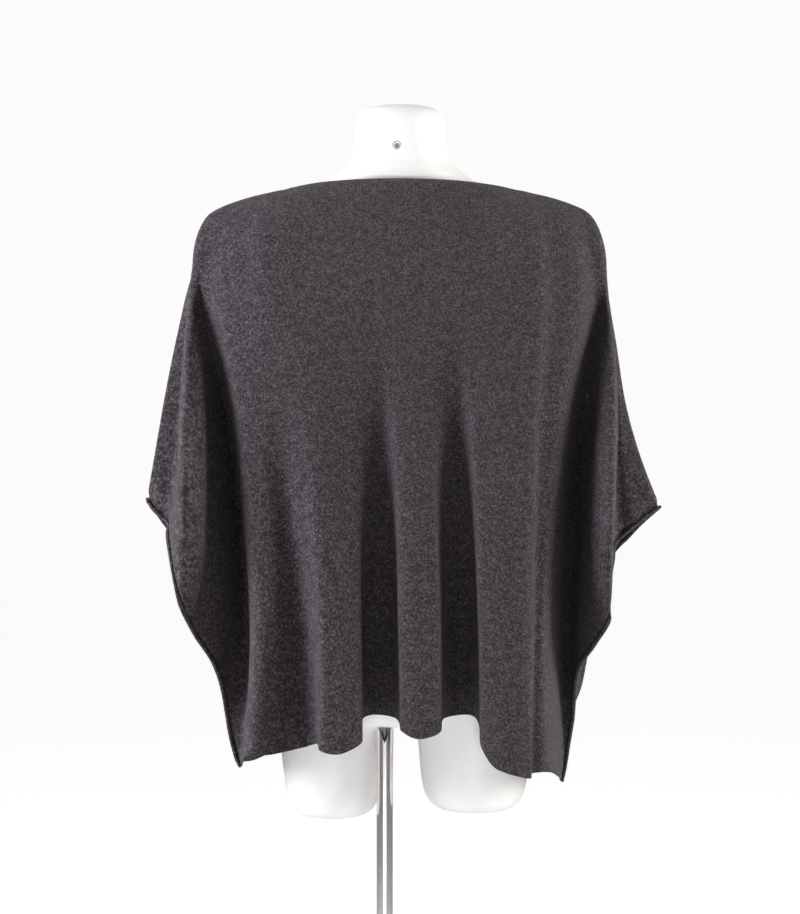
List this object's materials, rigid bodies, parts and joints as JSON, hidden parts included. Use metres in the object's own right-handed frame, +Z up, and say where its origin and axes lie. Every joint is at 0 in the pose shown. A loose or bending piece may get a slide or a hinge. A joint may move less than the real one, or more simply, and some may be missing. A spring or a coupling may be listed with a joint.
{
  "type": "knitted poncho sweater on a torso display form",
  "caption": "Wide sleeveless poncho of fine charcoal jersey, open at neck, wings and hem, hanging in soft pleats on a headless white torso form on a chrome pole and round base.",
  "frame": {"origin": "middle of the base plate's underside, on the floor", "axes": "+Z up; +Y towards the garment's back, so the back faces +Y; +X towards the left as the back is seen"},
  "size_m": [0.622, 0.3305, 1.549],
  "materials": {
    "knit": "charcoal melange fine-gauge jersey with a soft brushed nap, matt",
    "shell": "white moulded shell, satin",
    "bush": "turned steel, dull",
    "chrome": "polished chrome plate"
  },
  "bodies": {
    "root": {"back_panel": "knit", "front_panel": "knit", "torso_form": "shell", "neck_bush": "bush", "pole": "chrome", "pole_collar": "chrome", "base_plate": "chrome"}
  },
  "joints": []
}
